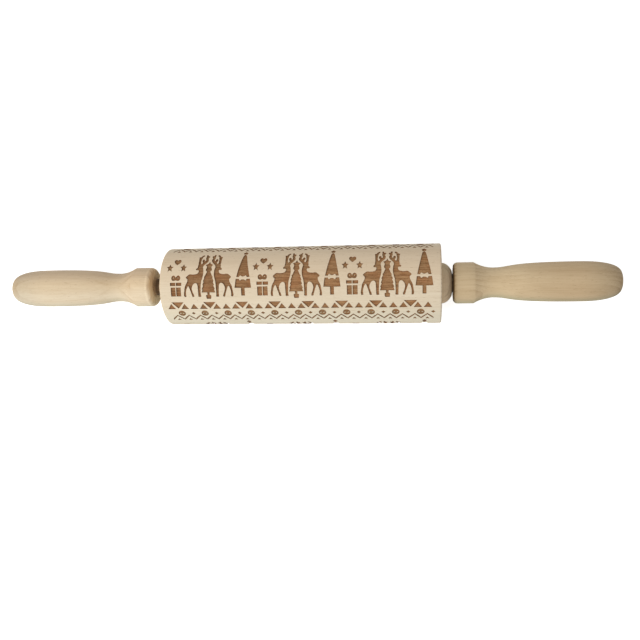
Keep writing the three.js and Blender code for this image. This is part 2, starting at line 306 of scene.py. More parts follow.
def beech(name, pale, dark, fleck, seed, roughness=0.62, bands=1.0, hoops=0.1, fibres=0.38):
    """Sanded beech: bands, rings and fibres between two colours, with flecks over them."""
    material, shader, start = new_material(name)
    band = step_up(stretched_noise(start, band_size, detail=3.0, seed=seed), *band_edges)
    fibre = stretched_noise(start, fibre_size, detail=3.0, seed=seed + 1)
    hoop = stretched_noise(start, hoop_size, detail=2.0, seed=seed + 3)
    ring = growth_rings(start, seed)
    shade = band * (band_strength * bands) + ring * (ring_strength * bands)
    shade = shade + step_up(fibre, *fibre_edges) * fibres + (hoop - 0.5) * hoops
    colour = blend_colours(shade, tint(*pale), tint(*dark))
    flecks = step_up(stretched_noise(start, fleck_size, detail=1.0, seed=seed + 2), *fleck_edges)
    colour = blend_colours(flecks * fleck_strength, colour, tint(*fleck))
    cut_end = start.node("ShaderNodeAttribute", out="Fac", attribute_name="end_grain")
    cut_end = step_up(cut_end, *end_edges)
    colour = blend_colours(cut_end * (ring * rings_on_ends + oil_on_ends), colour, tint(*fleck))
    start.feed(shader.inputs["Base Color"], colour)
    dullness = roughness + fibre * rougher_fibre - flecks * smoother_fleck + cut_end * rougher_end
    start.feed(shader.inputs["Roughness"], dullness)
    height = fibre * fibre_relief - flecks * fleck_relief + hoop * (hoop_relief * hoops)
    raise_grain(shader, height, grain_strength, grain_depth)
    shader.inputs["Specular IOR Level"].default_value = sanded_shine
    return material


ring_edges_on_ends = round(rings_on_ends + oil_on_ends, 2)
print("on a cut end the dark edges of rings take", ring_edges_on_ends, "of the fleck colour")

# %% [markdown]
# ### The billets of this pin
# The pieces come from different boards. The barrel is the palest and plainest, which suits a piece
# that carries a pattern, the right handle is browner than the left, the bosses show the hoops of
# their turning, and the rod is the darkest. Each line gives the recipe three colours as a screen
# shows them, pale, dark and fleck, and a seed that moves its marks and turns its rings.

# %% Mix the beech of each piece
barrel_beech = beech(
    "barrel_beech", (230, 215, 190), (213, 194, 165), (174, 147, 115), 1.0,
    roughness=0.66, bands=0.55, hoops=0.05,
)
left_beech = beech(
    "left_handle_beech", (222, 201, 168), (203, 177, 140), (165, 133, 97), 5.0, bands=0.85
)
right_beech = beech(
    "right_handle_beech", (209, 184, 147), (188, 160, 122), (150, 119, 84), 9.0, bands=0.85
)
boss_beech = beech(
    "boss_beech", (228, 204, 170), (204, 179, 144), (152, 124, 92), 11.0,
    roughness=0.58, bands=0.6, hoops=1.3, fibres=0.15,
)
rod_beech = beech("rod_beech", (196, 166, 130), (168, 138, 102), (124, 96, 66), 17.0)
billets = (barrel_beech, left_beech, right_beech, boss_beech, rod_beech)
print("mixed", ", ".join(billet.name for billet in billets))

# %% [markdown]
# ### Washes
# These washes are painted light and shade, put into the colour where light falls on each piece.
# The left handle gets a painted pinkish shade at the back, a painted creamy light at the front, and
# painted light on the outer rim of its inner face, which leaves painted gap shade by the rod. The
# right one gets painted light toward its neck and painted gap shade on its face by the boss. The
# barrel gets a painted warm shade at the back and a painted cool light down its sides, undone again
# below, the bosses a painted shade at the back, and the rod a painted gap shadow where it shows. Each
# of these is a colour multiplied in from one place to another, so that grain and flecks stay visible
# through it. Mixing the colour in, as paint does, would cover them.


# %% Lay washes over single pieces
def measured(start, axis):
    """The place along one axis, or the radius about the pin's own axis, in millimetres."""
    place = start.node("ShaderNodeSeparateXYZ", {"Vector": object_place(start)}, out="X")
    if axis != "radius":
        return place.also(axis) / MM
    across, up = place.also("Y") / MM, place.also("Z") / MM - axis_height
    return start.maths("SQRT", across * across + up * up)


def wash(material, axis, low, high, colour, strength=1.0, only=None):
    """Multiplies a colour in, from `low` to `high`. A second axis, low and high may limit it."""
    shader = material.node_tree.nodes["Principled BSDF"]
    start = Wire(material.node_tree)
    wood = Wire(start.tree, shader.inputs["Base Color"].links[0].from_socket)
    amount = step_up(measured(start, axis), low, high) * strength
    if only:
        limit, limit_low, limit_high = only
        amount = amount * step_up(measured(start, limit), limit_low, limit_high)
    washed = blend_colours(amount, wood, (*colour, 1.0), "MULTIPLY")
    start.feed(shader.inputs["Base Color"], washed)


washes = {
    # painted shade on the back of the left handle, turning it pinkish
    "painted pink shade at back": (left_beech, "Y", -3, 7, (0.9, 0.88, 0.9)),
    # painted light on the front of the left handle, turning it creamy
    "painted cream light at front": (left_beech, "Y", 1, -8, (1.05, 1.13, 1.26)),
    # painted light on the outer rim of the left handle's inner face, leaving painted gap shade by the
    # rod
    "painted light on face rim": (left_beech, "radius", 5.4, 6.8, (1.28, 1.34, 1.4), 0.55, ("X", -91, -89.6)),
    # painted light on the right handle toward its neck
    "painted light toward neck": (right_beech, "X", 150, 114, (1.15, 1.2, 1.24)),
    # painted gap shade on the right handle's inner face, by the boss
    "painted gap shade on face": (right_beech, "X", 88.5, 87.9, (0.36, 0.3, 0.22)),
    # painted warm shade on the back of the barrel
    "painted warm shade at back": (barrel_beech, "Y", -12, 3, (0.99, 0.94, 0.9)),
    # painted cool light down the barrel's sides
    "painted cool light on sides": (barrel_beech, "Z", 41, 31, (1.0, 1.07, 1.12)),
    # that painted light undone again below
    "painted light undone below": (barrel_beech, "Z", 28, 20, (0.95, 0.92, 0.89)),
    "shaded": (boss_beech, "Y", 0, 9, (0.76, 0.79, 0.76)),
    # painted gap shadow on the rod, where it shows in the left gap
    "painted gap shadow on rod": (rod_beech, "X", -88.2, -85.5, (0.18, 0.145, 0.09)),
}
for laid in washes.values():
    wash(*laid)
print("washes on single pieces:", ", ".join(washes))

# %% [markdown]
# ### Washes that both handles share
# Both handles get painted light on the collar, against the barrel's shadow, painted shade at the far
# round end and painted shade underneath. The places lie mirrored about the middle of the pin, so a
# loop lays them on both sides, with strengths of its own for each, instead of a second list that
# could go out of step with the first.

# %% Lay the handles' washes
# Painted light on the collars against the barrel's shadow, and painted shade at the far ends and
# underneath.
painted_collar_light, painted_end_shade, painted_underside_shade = (1.1, 1.09, 1.08), (0.84, 0.86, 0.88), (0.68, 0.78, 0.78)
cove_foot, collar_edge, end_shade_starts, end_shade_full = 108, 98, 152, 174
below_starts, below_full = 29, 22
for handle_wood, side, collar_light_strength, underside_shade_strength in (
    (left_beech, -1, 0.7, 0.5),
    (right_beech, 1, 0.15, 1.0),
):
    wash(handle_wood, "X", side * cove_foot, side * collar_edge, painted_collar_light, collar_light_strength)
    wash(handle_wood, "X", side * end_shade_starts, side * end_shade_full, painted_end_shade)
    wash(handle_wood, "Z", below_starts, below_full, painted_underside_shade, underside_shade_strength)
    print(handle_wood.name, "has", len(handle_wood.node_tree.nodes), "nodes")

# %% [markdown]
# ## Scorched wood
# A laser sinks the figures by burning thin lines along the pin, side by side. The floor of each
# figure is left brown, darker where the wood is dense, with a faint ribbing from the lines. The
# ribbing follows the angle round the pin, so it comes from an arctangent. Real grooves would cost
# thousands of faces for something that is no deeper than a hair is thick.

# %% Scorched material
line_pitch = 0.24
line_count = 2 * math.pi * barrel_radius / line_pitch
char_size, speck_size, blotch_size = (9, 0.8), (0.9, 0.5), (6, 3.5)
char_edges, speck_edges, blotch_edges = (0.32, 0.68), (0.35, 0.75), (0.35, 0.65)
redder = (0.99, 0.92, 0.88)
char_strength, speck_strength = 0.6, 0.3
line_relief, speck_relief, speck_dullness = 0.6, 0.5, 0.1
scorch_depth, scorch_strength = 0.06, 0.5
scorch_shine = 0.2


def scorched(name, light, dark, roughness, ribs):
    """Burnt beech between two browns, reddish in blotches, with a rib for each burnt line."""
    material, shader, start = new_material(name)
    z = start.node("ShaderNodeSeparateXYZ", {"Vector": object_place(start)}, out="Z")
    angle = start.maths("ARCTAN2", z - axis_height * MM, z.also("Y"))
    line = start.maths("SINE", angle * line_count) * 0.5 + 0.5
    band = step_up(stretched_noise(start, char_size, detail=3.0, seed=1.0), *char_edges)
    speck = step_up(stretched_noise(start, speck_size, detail=2.0, seed=3.0), *speck_edges)
    blotch = step_up(stretched_noise(start, blotch_size, detail=2.0, seed=8.0), *blotch_edges)
    red_light = [value * share for value, share in zip(light, redder)]
    toasted = blend_colours(blotch, tint(*light), tint(*red_light))
    char = band * char_strength + speck * speck_strength + line * ribs
    start.feed(shader.inputs["Base Color"], blend_colours(char, toasted, tint(*dark)))
    start.feed(shader.inputs["Roughness"], roughness + speck * speck_dullness)
    height = line * line_relief + speck * speck_relief
    raise_grain(shader, height, scorch_strength, scorch_depth)
    shader.inputs["Specular IOR Level"].default_value = scorch_shine
    return material


print("burnt lines round the barrel:", round(line_count))

# %% [markdown]
# ### Floors and walls of the figures
# A figure's floor is a broad brown ground, and its wall a thin edge that the beam grazes and chars
# most, so the two get browns of their own. The wall's darker brown is partly that char and partly
# painted shade on the sides of the pit. The wood took the burn unevenly: the first group of figures
# came out browner and the upper parts faded. On top of that, the right end gets painted light and
# the lowest band a painted cool shade. The same washes as before lay all four, and they stay on the
# barrel when it turns.

# %% Mix the scorched finishes
floor_scorch = scorched("scorched_floor", (174, 134, 95), (118, 82, 50), 0.8, 0.12)
# The wall's darker brown is partly char and partly painted shade on the sides of the pit.
wall_char_and_shade = scorched("scorched_and_shaded_wall", (158, 116, 78), (116, 78, 48), 0.85, 0.0)
scorch_washes = {
    # painted light toward the right end, where the lamp falls off
    "painted light to the right": ("X", -60, 70, (1.12, 1.13, 1.12)),
    # painted cool shade on the lowest band
    "painted cool shade low down": ("Z", 39, 33, (0.83, 0.94, 0.97)),
    "browner first group": ("X", -14, -32, (0.9, 0.89, 0.87), 1.0, ("Z", 40.5, 43)),
    "faded tops": ("Y", 1, 7, (1.05, 1.11, 1.14)),
}
for laid in scorch_washes.values():
    wash(floor_scorch, *laid)
print("washes on the scorched floor:", ", ".join(scorch_washes))

# %% [markdown]
# ## Building with geometry trees
# What is turned on a lathe or repeated in a row follows a rule, and Geometry Nodes carry out a rule
# with its sizes as named inputs. These helpers open a tree with its inputs, close it with its copies
# made real and dressed, and run it on an object, whose result becomes a plain mesh. The same meshes
# could be worked out in Python alone, but there a count or a pitch is easily buried in a loop.


# %% Helpers for geometry trees
def new_geometry_tree(name, inputs):
    """Opens a geometry tree with the given inputs, as {name: (kind of socket, default)}."""
    tree = bpy.data.node_groups.new(name, "GeometryNodeTree")
    for way in ("INPUT", "OUTPUT"):
        tree.interface.new_socket("Geometry", in_out=way, socket_type="NodeSocketGeometry")
    for label, (kind, default) in inputs.items():
        socket = tree.interface.new_socket(label, in_out="INPUT", socket_type="NodeSocket" + kind)
        if default is not None:
            socket.default_value = default
    start = Wire(tree)
    entry = start.node("NodeGroupInput").socket.node
    return start, {socket.name: Wire(tree, socket) for socket in entry.outputs if socket.name}


def end_tree(start, geometry, look=None):
    """Closes a tree, with its copies made real and dressed where a look is given."""
    if look:
        geometry = start.node("GeometryNodeRealizeInstances", {"Geometry": geometry})
        geometry = start.node("GeometryNodeSetMaterial", {"Geometry": geometry, "Material": look})
    leave = start.tree.nodes.new("NodeGroupOutput")
    start.tree.links.new(geometry.socket, leave.inputs[0])
    return start.tree


def run_tree(source, tree, name, **values):
    """Runs a tree on a source object and returns the result as a plain object of its own."""
    modifier = source.modifiers.new("tree", "NODES")
    modifier.node_group = tree
    given = [item for item in tree.interface.items_tree if item.in_out == "INPUT"]
    labels = {item.name: item.identifier for item in given}
    for label, value in values.items():
        modifier[labels[label.replace("_", " ").capitalize()]] = value
    bpy.context.view_layer.update()
    evaluated = source.evaluated_get(bpy.context.evaluated_depsgraph_get())
    mesh = bpy.data.meshes.new_from_object(evaluated)
    bpy.data.objects.remove(source)
    mesh.name = name
    return put_in_scene(name, mesh)


trial, trial_inputs = new_geometry_tree("trial", {"Sides": ("Int", 3)})
print("an empty tree has the inputs", ", ".join(trial_inputs))
bpy.data.node_groups.remove(trial.tree)

# %% [markdown]
# ## Turning on a lathe
# A turner holds a template against the spinning wood. This tree does the same: it takes the template,
# a row of points giving place along the pin and radius, lays a grid with one column of points for
# each, and wraps the grid round the pin. The seam and the poles are welded at the end. A Screw
# modifier would do too, but the tree keeps the number of sides and the place as named inputs.


# %% The lathe
def lathe_tree():
    start, given = new_geometry_tree("lathe", {
        "Sides": ("Int", 128),
        "Axis height": ("Float", axis_height * MM),
        "Weld": ("Float", 1e-6),
        "Wood": ("Material", None),
    })
    points = {"Geometry": given["Geometry"]}
    size = start.node("GeometryNodeAttributeDomainSize", points, "Point Count")
    lines = {"Vertices X": given["Sides"] + 1, "Vertices Y": size}
    grid = start.node("GeometryNodeMeshGrid", lines, "Mesh")
    index = start.node("GeometryNodeInputIndex")
    side = start.maths("FLOOR", (index + 0.5) / size)
    place = start.node("GeometryNodeInputPosition")
    lookup = {**points, "Value": place, "Index": index - side * size}
    template = start.node("GeometryNodeSampleIndex", lookup, data_type="FLOAT_VECTOR")
    along = start.node("ShaderNodeSeparateXYZ", {"Vector": template}, "X")
    radius = along.also("Y")
    angle = side * (2 * math.pi) / given["Sides"]
    spot = start.node("ShaderNodeCombineXYZ", {
        "X": along,
        "Y": radius * start.maths("COSINE", angle),
        "Z": radius * start.maths("SINE", angle) + given["Axis height"],
    })
    turned = start.node("GeometryNodeSetPosition", {"Geometry": grid, "Position": spot})
    welded = {"Geometry": turned, "Distance": given["Weld"]}
    return end_tree(start, start.node("GeometryNodeMergeByDistance", welded), given["Wood"])


lathe = lathe_tree()
print("the lathe has", len(lathe.nodes), "nodes")

# %% [markdown]
# ### Using the lathe
# With the axis below it, a profile is walked with the wood on its right, so that the faces point
# outwards. One written for the right-hand end is mirrored for the left, and walked backwards there.
# Mirroring the finished mesh instead would turn it inside out.

# %% Turn a piece
crease = math.radians(32)


def template(points):
    """A row of points as a mesh object, in metres."""
    mesh = bpy.data.meshes.new("template")
    edges = [(i, i + 1) for i in range(len(points) - 1)]
    mesh.from_pydata([(x * MM, r * MM, 0) for x, r in points], edges, [])
    return put_in_scene("template", mesh)


def turn_piece(name, profile, wood, face, side, sides=128):
    """Turns a profile of (distance from a face, radius), going away from the barrel on that side."""
    points = [(face + side * x, r) for x, r in profile]
    source = template(points if side > 0 else points[::-1])
    piece = run_tree(source, lathe, name, sides=sides, wood=wood)
    piece.data.shade_smooth()
    piece.data.set_sharp_from_angle(angle=crease)
    print(name, len(piece.data.polygons), "faces")
    return piece


print("edges that turn by more than", round(math.degrees(crease)), "degrees stay crisp")

# %% [markdown]
# ## Handles
# Each handle has a cylindrical collar with a softened inner edge, a crisp shoulder, a cove down to a
# slim neck, and a long swelling grip with a blunt round end. The cove is a parabola and the swell an
# S-curve, since a turner sweeps both in one pass. The end is nearly a superellipse, which is fuller
# than a half ball. A Bezier curve could be drawn by eye, but its handles say nothing about collar,
# neck or grip.

# %% Handle profile
handle_low, handle_high = extent("handle_right")
handle_length = handle_high.x - handle_low.x
collar_radius, collar_length, collar_softening = 11.6, 11.2, (2.6, 2.0)
neck_radius, neck_place = 8.4, 22
grip_radius, grip_place = 11.1, 65
socket_radius, socket_depth, socket_softening = 5.05, 40, 0.1
softening_steps, cove_steps, swell_steps, end_steps = 8, 12, 26, 26
neck_pull, grip_pull, halvings = 0.23, 0.14, 30
end_fullness, tip_fullness = 3.3, 0.85


def arc(centre, radii, start, end, steps):
    """Points on a quarter or less of an ellipse, from one angle in degrees to another."""
    angles = [math.radians(start + (end - start) * i / steps) for i in range(steps + 1)]
    return [(centre[0] + radii[0] * math.cos(a), centre[1] + radii[1] * math.sin(a)) for a in angles]


def between(low, high, share):
    return low + (high - low) * share


def swell(share):
    """An S-curve from 0 to 1 that leaves the neck quickly and reaches the grip slowly."""
    low, high = 0.0, 1.0
    for _ in range(halvings):
        t = (low + high) / 2
        along = 3 * t * (1 - t) ** 2 * neck_pull + 3 * t * t * (1 - t) * grip_pull + t ** 3
        low, high = (t, high) if along < share else (low, t)
    return 3 * t * t * (1 - t) + t ** 3


def handle_profile():
    """A handle from the bottom of its socket, over its inner face, to its tip."""
    along, inward = collar_softening
    profile = [(socket_depth, 0), (socket_depth, socket_radius)]
    profile += [(socket_softening, socket_radius), (0, socket_radius + socket_softening)]
    profile += arc((along, collar_radius - inward), collar_softening, 180, 90, softening_steps)
    for share in [i / cove_steps for i in range(cove_steps)]:
        drop = (collar_radius - neck_radius) * (1 - share) ** 2
        profile.append((between(collar_length, neck_place, share), neck_radius + drop))
    for share in [i / swell_steps for i in range(swell_steps)]:
        radius = between(neck_radius, grip_radius, swell(share))
        profile.append((between(neck_place, grip_place, share), radius))
    for share in [math.sin(i / end_steps * math.pi / 2) for i in range(end_steps + 1)]:
        bluntness = end_fullness + tip_fullness * share ** 6
        radius = grip_radius * max(0.0, 1 - share ** 3) ** (1 / bluntness)
        profile.append((between(grip_place, handle_length, share), radius))
    return profile


print("a handle's profile:", len(handle_profile()), "points,", round(handle_length, 1), "mm long")

# %% [markdown]
# ### Both handles
# The two handles were turned to one template and differ only in their wood. So the same profile is
# used twice, from the inner face of each and away from the barrel, rather than a mirrored copy.

# %% Turn both handles
left_face = extent("handle_left")[1].x
handle_left = turn_piece("turned_handle_left", handle_profile(), left_beech, left_face, -1)
handle_right = turn_piece("turned_handle_right", handle_profile(), right_beech, handle_low.x, 1)

# %% [markdown]
# ## Bosses
# A boss is a low dome with a spigot behind it, bored for the rod. Only the dome shows, with a fine
# chamfered lip round the rod. The dome is part of an ellipse, because a ball would stand out too far,
# and the hidden spigot is turned too, so that the piece is whole when someone takes it out.

# %% Boss profile
boss_radius, boss_gap, boss_standout, boss_lip = 11.5, 0.3, 6.2, 0.4
dome_length, dome_steps = 7.2, 18
spigot_radius, spigot_length, spigot_chamfer = 9, 14, 0.8
bore_radius = 5.3


def boss_profile():
    """A boss as distances from the barrel's end, once round from the bottom of its bore."""
    dome_end = math.degrees(math.asin((boss_standout - boss_lip / 2 - boss_gap) / dome_length))
    profile = [(-spigot_length, bore_radius), (-spigot_length, spigot_radius - spigot_chamfer)]
    profile += [(-spigot_length + spigot_chamfer, spigot_radius), (boss_gap, spigot_radius)]
    profile += arc((boss_gap, 0), (dome_length, boss_radius), 90, 90 - dome_end, dome_steps)
    profile += [(boss_standout, bore_radius + boss_lip), (boss_standout - boss_lip, bore_radius)]
    profile += [(-spigot_length, bore_radius)]
    return profile


boss_left = turn_piece("turned_boss_left", boss_profile(), boss_beech, barrel_low.x, -1, 96)
boss_right = turn_piece("turned_boss_right", boss_profile(), boss_beech, barrel_high.x, 1, 96)

# %% [markdown]
# ## Rod
# The rod is a plain dowel, glued into both handles and seen for a few millimetres in the gap at the
# left. A cylinder primitive would do, but the lathe also gives it the chamfers that let a dowel slip
# into its socket. Half of it is written down, and the other half is the same, mirrored.

# %% Turn the rod
rod_radius, rod_chamfer = 5, 0.8
rod_end = extent("axle_rod")[1].x
rod_half = [(rod_end, 0), (rod_end, rod_radius - rod_chamfer), (rod_end - rod_chamfer, rod_radius)]
rod_profile = [(-x, r) for x, r in rod_half] + rod_half[::-1]
rod = turn_piece("turned_rod", rod_profile, rod_beech, 0, 1, 64)

# %% [markdown]
# ## Drawing the figures
# The figures are drawn flat, as on a sheet that is later rolled round the barrel: x runs along the
# barrel and y upwards from the figures' feet. Few points are given for each. Where the outline turns
# gently it is rounded off by a curve through the points, and where it turns sharply the corner stays.
# Blender's own curves would need every corner marked by hand.

# %% Smooth outlines
sharp_turn = math.radians(52)
curve_step = 0.45
nearly_one = 0.9999


def heading(points, i):
    """The direction of an outline at one of its points, and whether the point is a corner."""
    before = (points[i] - points[i - 1]).normalized()
    after = (points[(i + 1) % len(points)] - points[i]).normalized()
    return before, after, before.angle(after) > sharp_turn


def smooth(outline):
    """A closed outline of (x, y) points as a denser one, rounded where it turns gently."""
    points = [Vector(p) for p in outline]
    dense = []
    for i, point in enumerate(points):
        target = points[(i + 1) % len(points)]
        span = (target - point).length
        before, after, corner = heading(points, i)
        leave = after if corner else (before + after).normalized()
        before, after, corner = heading(points, (i + 1) % len(points))
        arrive = before if corner else (before + after).normalized()
        straight = leave.dot(arrive) > nearly_one
        steps = 1 if straight else max(2, math.ceil(span / curve_step))
        for k in range(steps):
            t = k / steps
            start_weight = 2 * t ** 3 - 3 * t ** 2 + 1
            leave_weight = (t ** 3 - 2 * t ** 2 + t) * span
            arrive_weight = (t ** 3 - t ** 2) * span
            dense.append(start_weight * point + leave_weight * leave
                         + (1 - start_weight) * target + arrive_weight * arrive)
    return dense


print("a square keeps its", len(smooth([(0, 0), (1, 0), (1, 1), (0, 1)])), "corners and gets no more")

# %% [markdown]
# ### The reindeer
# Two reindeer face each other across a small fir. The outline is the right-hand one, walked once
# round from the foot nearest to the fir, with x from the fir's middle. It is one closed line, since
# a laser cuts it as one shape, and legs or antlers added as bars would show where they join.

# %% Draw the reindeer
deer = [
    (4.3, 0.2), (5.1, 0.0), (6.0, 0.1), (6.0, 1.7), (6.1, 4.4), (6.3, 6.7), (6.8, 7.6), (7.6, 7.8),
    (8.4, 7.4), (9.2, 6.3), (9.6, 4.8), (9.1, 2.6), (8.4, 0.6), (8.5, 0.0), (9.5, 0.1), (10.0, 2.0),
    (10.8, 4.4), (11.4, 6.0), (12.0, 6.0), (12.7, 4.4), (13.1, 2.2), (13.0, 0.2), (13.9, 0.0),
    (14.3, 0.6), (14.0, 3.8), (13.5, 6.2), (12.7, 7.7), (12.2, 8.8), (12.1, 10.0), (12.9, 10.7),
    (13.1, 11.3), (12.1, 12.2), (11.1, 12.9), (9.1, 12.8), (7.3, 13.0), (6.3, 13.5), (5.9, 14.2),
    (5.8, 15.0), (6.3, 15.4), (7.1, 15.3), (7.6, 15.9), (7.2, 16.5), (6.6, 17.0), (6.7, 18.0),
    (6.5, 18.8), (6.6, 20.2), (6.6, 21.8), (6.7, 23.2), (6.9, 24.4), (5.9, 24.6), (5.3, 25.7),
    (4.2, 26.4), (3.8, 25.6), (4.6, 24.6), (5.0, 23.0), (5.2, 21.2), (5.1, 19.9), (4.7, 19.2),
    (4.3, 19.6), (4.0, 20.3), (4.5, 21.0), (4.6, 22.1), (4.0, 22.9), (3.2, 22.3), (3.2, 21.3),
    (2.6, 21.6), (2.5, 22.5), (2.9, 23.5), (2.7, 24.6), (2.9, 26.3), (2.1, 26.6), (1.7, 25.4),
    (0.9, 25.4), (0.7, 24.5), (1.4, 23.4), (0.9, 22.0), (1.3, 20.6), (2.3, 19.4), (3.2, 18.4),
    (3.6, 17.2), (3.3, 16.0), (3.1, 14.4), (3.1, 12.7), (3.5, 10.6), (4.1, 8.4), (4.4, 5.0),
    (4.5, 1.6),
]
print("the reindeer has", len(deer), "points given and", len(smooth(deer)), "drawn")

# %% [markdown]
# ### The fir and the spruce
# The small potted fir between the reindeer has jagged boughs, and the tall spruce beside them is cut
# into a top, a base and the tip of a star. Both are the same left and right, so only the right half
# of each is written, from the top down, and closed with its own reflection.


# %% Draw the fir and the spruce
def symmetric(half):
    """Closes a right-hand half outline, given from the top down, about x = 0."""
    return half + [(-x, y) for x, y in reversed(half) if x > 0]


fir = symmetric([
    (0.0, 20.9), (0.7, 19.4), (2.2, 18.8), (1.35, 17.4), (1.75, 15.3), (0.95, 14.3), (1.5, 13.2),
    (2.0, 12.0), (2.6, 11.2), (2.3, 10.7), (3.1, 8.9), (2.7, 8.4), (3.4, 6.8), (3.0, 6.3), (3.8, 4.5),
    (3.4, 4.1), (4.0, 2.5), (0.7, 2.5), (0.65, 1.2), (1.45, 1.0), (1.5, 0.2), (1.2, -1.2),
])
spruce_top = symmetric([
    (0.0, 26.1), (0.75, 25.3), (1.4, 22.6), (2.0, 19.6), (2.5, 17.2), (3.05, 14.7), (3.8, 10.95),
    (2.2, 10.9), (2.0, 11.5), (1.5, 11.9), (1.0, 11.5), (0.0, 11.2),
])
spruce_base = symmetric([
    (0.0, 9.6), (0.9, 9.45), (1.45, 9.0), (1.9, 9.15), (2.15, 9.85), (4.05, 9.95), (4.75, 4.9),
    (1.05, 4.8), (1.05, 0.5),
])
spruce_tip = symmetric([
    (0.0, 28.9), (0.7, 28.1), (1.4, 27.7), (1.0, 26.9), (0.9, 26.2), (0.0, 26.3),
])
print("the fir has", len(fir), "points and the spruce", len(spruce_top + spruce_base + spruce_tip))

# %% [markdown]
# ### The gift and what floats over it
# A gift is a box and its lid, each split by the ribbon, under a bow of two loops. A heart and two
# stars float over it. The ribbon isn't cut: it is the wood left standing between the two halves, so
# only the shapes beside it are drawn. A star follows a rule, so its corners are worked out.

# %% Draw the gift, the heart and the star
star_tips, star_inner_share, star_narrowing = 5, 0.5, 0.8


def box(left, low, width, height):
    return [(left, low), (left + width, low), (left + width, low + height), (left, low + height)]


def star(radius, x, y):
    """A five-pointed star, a little taller than wide."""
    radii = [radius, radius * star_inner_share] * star_tips
    angles = [math.pi / 2 + i * math.pi / star_tips for i in range(2 * star_tips)]
    corners = zip(radii, angles)
    return [(x + star_narrowing * r * math.cos(a), y + r * math.sin(a)) for r, a in corners]


bow_loop = [
    (0.0, 9.6), (0.9, 9.3), (2.0, 9.4), (2.6, 10.4), (2.4, 11.7), (1.5, 12.4), (0.7, 12.1),
    (0.0, 11.0),
]
bow_eye = [(1.2, 10.7), (1.4, 10.6), (1.55, 10.9), (1.4, 11.2), (1.2, 11.1)]
gift_halves = [box(0.2, 0.4, 2.75, 5.1), box(0.2, 6.4, 3.1, 1.8), bow_loop]
heart = symmetric([
    (0.0, 22.0), (0.6, 22.7), (1.3, 22.7), (1.9, 22.0), (1.95, 21.1), (1.2, 19.9), (0.0, 18.8),
])
print("half a gift has", len(gift_halves), "shapes, and a star", len(star(1, 0, 0)), "corners")

# %% [markdown]
# ### Bands below the figures
# Under the figures run a band of hanging and standing triangles, a band of discs with diamonds
# between them, and a zigzag over small triangles. Each disc keeps two slanted strokes of wood. They
# are simple enough to be written as a few corners about the middle of one repeat.

# %% Draw the bands
disc_level, disc_radius, disc_corners, stroke_place = -10.85, 2.1, 16, 0.85
zigzag_peak, zigzag_fall, zigzag_thickness = -12.0, 3.85, 1.0


def moved(outline, dx, dy=0):
    return [(x + dx, y + dy) for x, y in outline]


triangle_hung = [(-3.6, -3.15), (0.0, -7.25), (3.6, -3.15)]
triangle_stood = [(-2.3, -7.6), (2.3, -7.6), (0.0, -4.2)]
small_triangle = [(-1.15, -17.05), (1.15, -17.05), (0.0, -15.2)]
disc_angles = [2 * k * math.pi / disc_corners for k in range(disc_corners)]
disc = [(disc_radius * math.cos(a), disc_level + disc_radius * math.sin(a)) for a in disc_angles]
stroke = [(-0.47, -0.18), (-0.28, -0.42), (0.47, 0.18), (0.28, 0.42)]
disc_strokes = [moved(stroke, side * stroke_place, disc_level) for side in (-1, 1)]
diamond = moved([(-1.15, 0), (0, -1), (1.15, 0), (0, 1)], 0, disc_level)


def zigzag(pitch):
    """One chevron of the zigzag, from valley to valley."""
    valley = zigzag_peak - zigzag_fall
    upper = [(-pitch / 2, valley), (0, zigzag_peak), (pitch / 2, valley)]
    return upper + [(x, y - zigzag_thickness) for x, y in reversed(upper)]


print("the bands reach", -small_triangle[0][1], "mm below the figures' feet")

# %% [markdown]
# ## Laying the pattern out
# One row of the pattern holds three groups of figures and, below them, three bands whose repeats
# have lengths of their own. The row goes three times round the barrel. All pitches are worked out
# from the barrel's own length and girth, so that the pattern closes whatever their values are.

# %% Sizes of a row
left_margin, right_margin = 3.6, 4.4
rows_round = 3
groups_along, triangles_along, discs_along, chevrons_along = 3, 8, 11, 22
row_pitch = 2 * math.pi * barrel_radius / rows_round
pattern_length = barrel_length - left_margin - right_margin
group_pitch = pattern_length / groups_along
gift_place = 0.124 * group_pitch
fir_place = 0.504 * group_pitch
spruce_place = 0.902 * group_pitch
print("a row is", round(row_pitch, 1), "mm high and has a group every", round(group_pitch, 1), "mm")

# %% [markdown]
# ### Motifs as flat meshes
# A motif is what one repeat of a band shows, such as a whole group of figures. Its outlines become
# flat faces of one mesh, which Geometry Nodes can copy. Every face is walked anticlockwise, because
# the cutting further on reads its inside from that. Joining curves would leave that to chance.

# %% Make the motifs
star_radius, star_spacing, star_level = 2.6, 4, 16.9


def mirrored(outline):
    return [(-x, y) for x, y in reversed(outline)]


def group_motif():
    """The outlines of one group, from the left end of its pitch."""
    outlines = [moved(outline, fir_place) for outline in (deer, mirrored(deer), fir)]
    outlines += [moved(outline, spruce_place) for outline in (spruce_top, spruce_base, spruce_tip)]
    for outline in gift_halves:
        outlines += [moved(outline, gift_place), moved(mirrored(outline), gift_place)]
    outlines.append(moved(heart, gift_place))
    outlines += [star(star_radius, gift_place + side * star_spacing, star_level) for side in (-1, 1)]
    return outlines


def turns_left(outline):
    """Whether an outline runs anticlockwise, from the sign of its area."""
    shifted = outline[1:] + outline[:1]
    return sum(a[0] * b[1] - b[0] * a[1] for a, b in zip(outline, shifted)) > 0


def motif_object(name, outlines):
    mesh = bpy.data.meshes.new(name)
    points, faces = [], []
    for outline in outlines:
        dense = smooth(outline if turns_left(outline) else outline[::-1])
        faces.append(range(len(points), len(points) + len(dense)))
        points += [(p.x, p.y, 0) for p in dense]
    mesh.from_pydata(points, [], faces)
    return put_in_scene(name, mesh)


print("a group has", len(group_motif()), "shapes")

